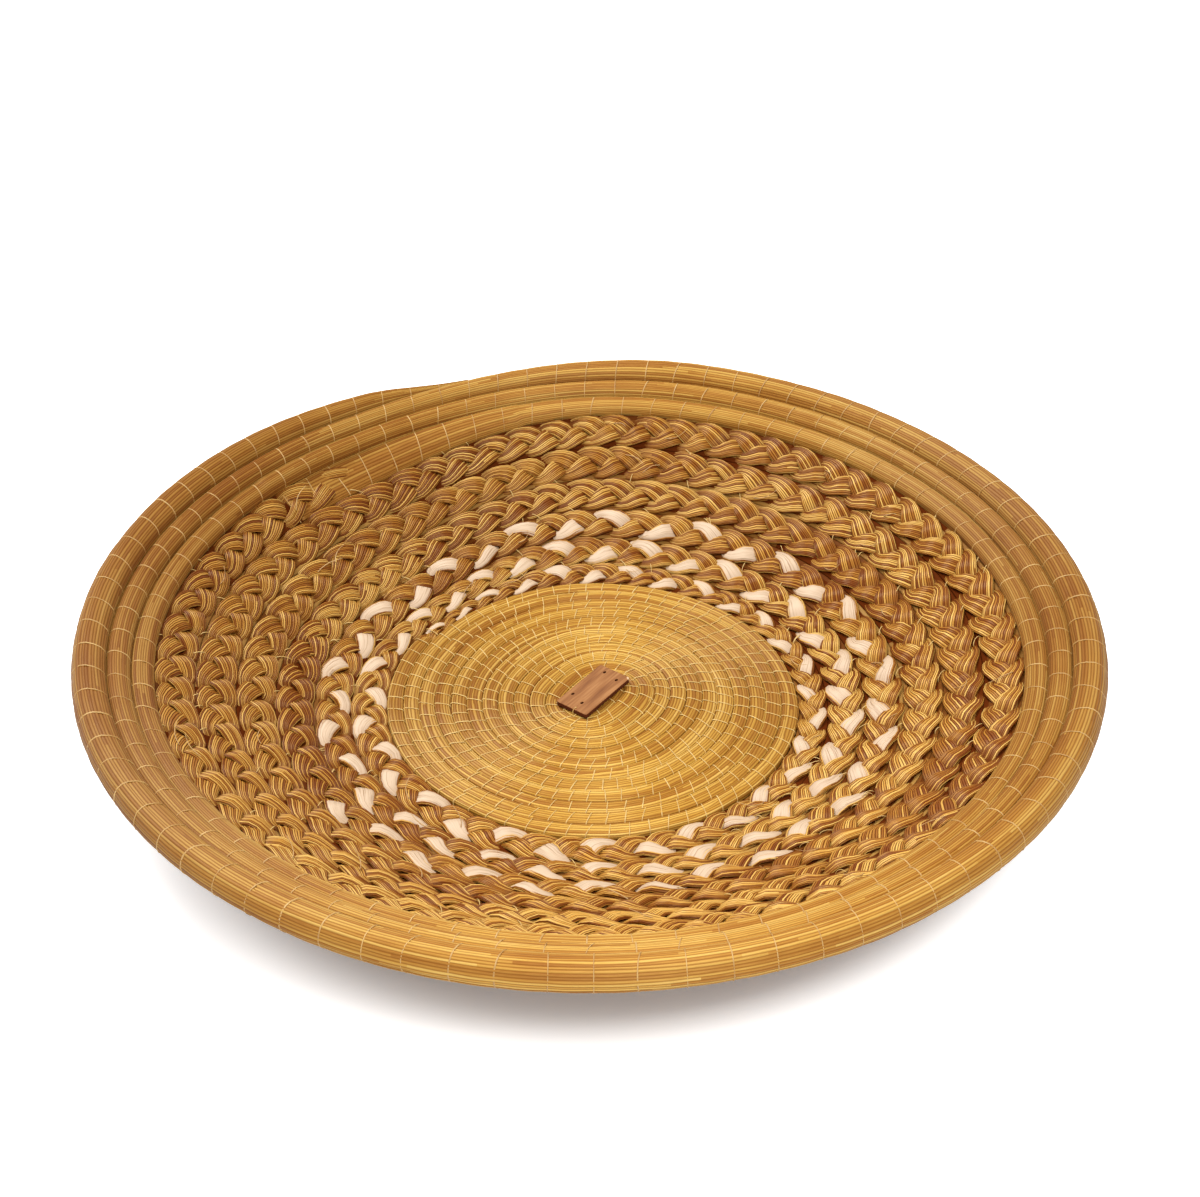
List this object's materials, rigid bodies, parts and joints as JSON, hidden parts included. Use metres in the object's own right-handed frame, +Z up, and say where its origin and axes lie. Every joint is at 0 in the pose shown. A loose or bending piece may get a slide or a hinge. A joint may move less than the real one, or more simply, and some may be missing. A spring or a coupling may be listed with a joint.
{
  "type": "woven grass tray basket",
  "caption": "Round shallow tray basket of golden grass: coiled base, flaring plaited wall, coiled rim and a small bare wooden tag.",
  "frame": {"origin": "on the surface the tray stands on, under the centre of the tray", "axes": "+Z up out of the open top of the tray, +Y away from the side that the picture looks from, +X to the right"},
  "size_m": [0.3986, 0.3958, 0.0568],
  "materials": {
    "straw_base": "dried golden grass stems, silky sheen",
    "straw_plait": "dried golden grass stems plaited, silky sheen",
    "straw_rim": "dried golden grass stems, silky sheen",
    "pale_leaf": "pale dried palm leaf, matte",
    "binding_thread": "split palm fibre, matte",
    "tag_wood": "thin reddish brown wood, matte"
  },
  "bodies": {
    "root": {"base_coil": "straw_base", "plait": "straw_plait", "rim_coil": "straw_rim", "wood_tag": "tag_wood"}
  },
  "joints": []
}
